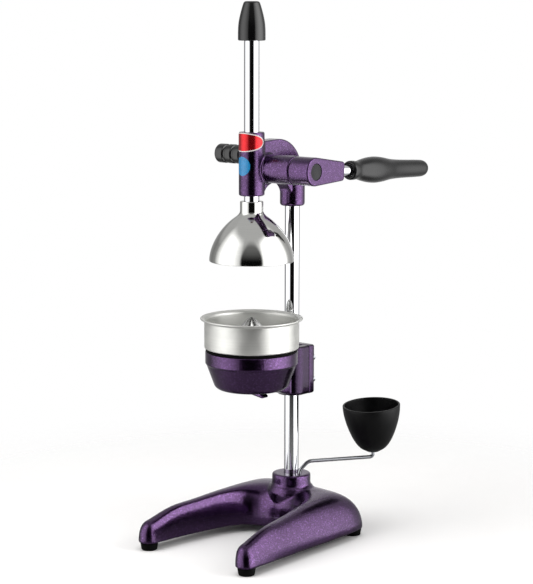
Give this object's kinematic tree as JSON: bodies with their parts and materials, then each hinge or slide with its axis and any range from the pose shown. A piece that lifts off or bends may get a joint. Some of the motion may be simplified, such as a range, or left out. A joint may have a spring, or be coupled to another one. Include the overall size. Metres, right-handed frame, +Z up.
{
  "type": "lever citrus juice press",
  "caption": "Hand lever citrus press: toothed press rod with a bell, geared lever, strainer bowl with reamer on a column, horseshoe base and a swinging drip cup.",
  "frame": {"origin": "middle of the bottom of the whole press's box, on the table", "axes": "+Z up, +X towards the lever side, +Y towards the back, where the column stands"},
  "size_m": [0.1698, 0.31, 0.5747],
  "materials": {
    "flake_paint": "metallic flake paint on an aluminium casting, glossy",
    "chrome": "bright chrome plate",
    "polished_bell": "mirror polished",
    "stainless": "satin stainless sheet",
    "cast_reamer": "polished casting",
    "fastener_steel": "plain plated steel",
    "black_plastic": "satin moulded",
    "grey_plastic": "satin moulded",
    "foot_rubber": "moulded rubber"
  },
  "bodies": {
    "stand": {"base_casting": "flake_paint", "foot_front_left": "foot_rubber", "foot_front_right": "foot_rubber", "foot_rear_left": "foot_rubber", "foot_rear_right": "foot_rubber", "foot_screw_front_left": "fastener_steel", "foot_screw_front_right": "fastener_steel", "foot_screw_rear_left": "fastener_steel", "foot_screw_rear_right": "fastener_steel", "column": "chrome", "column_washer": "fastener_steel", "column_bolt": "fastener_steel", "head_casting": "flake_paint", "head_set_screw": "fastener_steel", "side_grip": "black_plastic", "side_grip_stud": "fastener_steel", "bowl_casting": "flake_paint", "clamp_plate": "flake_paint", "clamp_screw_1": "fastener_steel", "clamp_screw_2": "fastener_steel", "clamp_screw_3": "fastener_steel", "clamp_screw_4": "fastener_steel", "strainer_bowl": "stainless", "reamer_cone": "cast_reamer"},
    "lever": {"pinion_shaft": "fastener_steel", "pinion_washer": "fastener_steel", "pinion_screw": "fastener_steel", "lever_arm": "flake_paint", "lever_set_screw": "fastener_steel", "lever_hub_screw": "fastener_steel", "lever_hub_cap": "grey_plastic", "lever_rod": "chrome", "lever_grip": "black_plastic"},
    "press_rod": {"rack_rod": "chrome", "rack_cap": "black_plastic", "press_bell": "polished_bell", "bell_nut": "fastener_steel"},
    "drip_tray": {"drip_arm": "chrome", "drip_cup": "black_plastic"}
  },
  "joints": [
    {"name": "lever_turn", "type": "hinge", "parent": "stand", "child": "lever", "pos_m": [-0.00496, -0.04271, 0.4025], "axis": [1, 0, 0], "range_deg": [-33, 576]},
    {"name": "press_slide", "type": "slide", "parent": "stand", "child": "press_rod", "axis": [0, 0, 1], "range_m": [-0.0905, 0.0052]},
    {"name": "drip_swing", "type": "hinge", "parent": "stand", "child": "drip_tray", "pos_m": [0.00744, 0.00794, 0.066], "axis": [0, 0, 1], "range_deg": [-165, 58]}
  ],
  "couplings": [
    {"joint": "press_slide", "follows": "lever_turn", "m_per_rad": -0.009}
  ]
}
